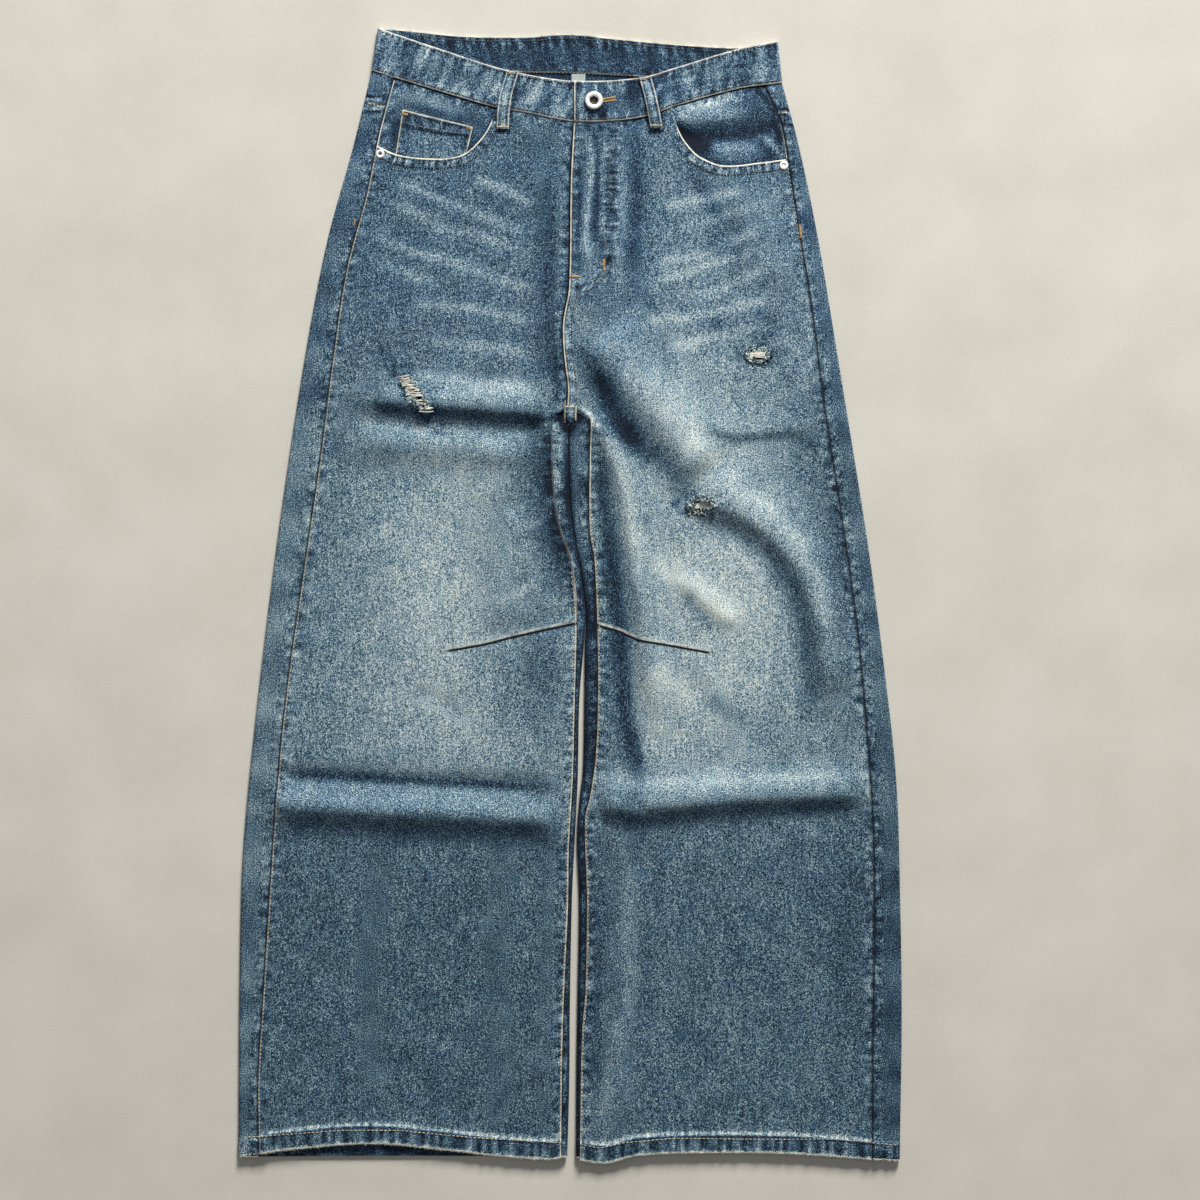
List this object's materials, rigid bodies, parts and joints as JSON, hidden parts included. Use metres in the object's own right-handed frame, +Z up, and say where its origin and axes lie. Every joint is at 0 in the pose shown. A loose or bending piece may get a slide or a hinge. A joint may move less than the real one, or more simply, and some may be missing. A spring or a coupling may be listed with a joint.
{
  "type": "pair of ripped wide-leg jeans laid flat",
  "caption": "Washed blue wide-leg denim jeans laid flat and face up, with frayed rips, scoop hip pockets, belt loops and a shank button",
  "frame": {"origin": "centre of the footprint on the surface the jeans lie on", "axes": "+X to the wearer's left, +Y from hems to waist, +Z up out of the surface"},
  "size_m": [0.6243, 1.0695, 0.0126],
  "materials": {
    "washed_denim": "blue twill, washed and rubbed pale on thighs, seams and hems",
    "band_denim": "doubled blue twill, dark indigo inside",
    "facing_denim": "paler washed twill",
    "zip_tape": "dark woven tape",
    "label_cloth": "blank white woven label",
    "topstitch": "tan and pale cotton thread",
    "frayed_thread": "undyed weft threads, frayed",
    "silver_metal": "bright worn nickel",
    "dark_metal": "dull dark sunken centre"
  },
  "bodies": {
    "root": {"front_right": "washed_denim", "front_left": "washed_denim", "back_right": "washed_denim", "back_left": "washed_denim", "yoke_right": "washed_denim", "yoke_left": "washed_denim", "waistband": "band_denim", "pocket_facing_right": "facing_denim", "pocket_facing_left": "facing_denim", "coin_pocket": "washed_denim", "back_pocket_right": "washed_denim", "back_pocket_left": "washed_denim", "belt_loop_front_right": "band_denim", "belt_loop_front_left": "band_denim", "belt_loop_back_right": "band_denim", "belt_loop_back_centre": "band_denim", "belt_loop_back_left": "band_denim", "fly_shield": "band_denim", "zip": "zip_tape", "care_label": "label_cloth", "button": "silver_metal", "button_centre": "dark_metal", "rivet_right": "silver_metal", "rivet_left": "silver_metal"}
  },
  "joints": []
}
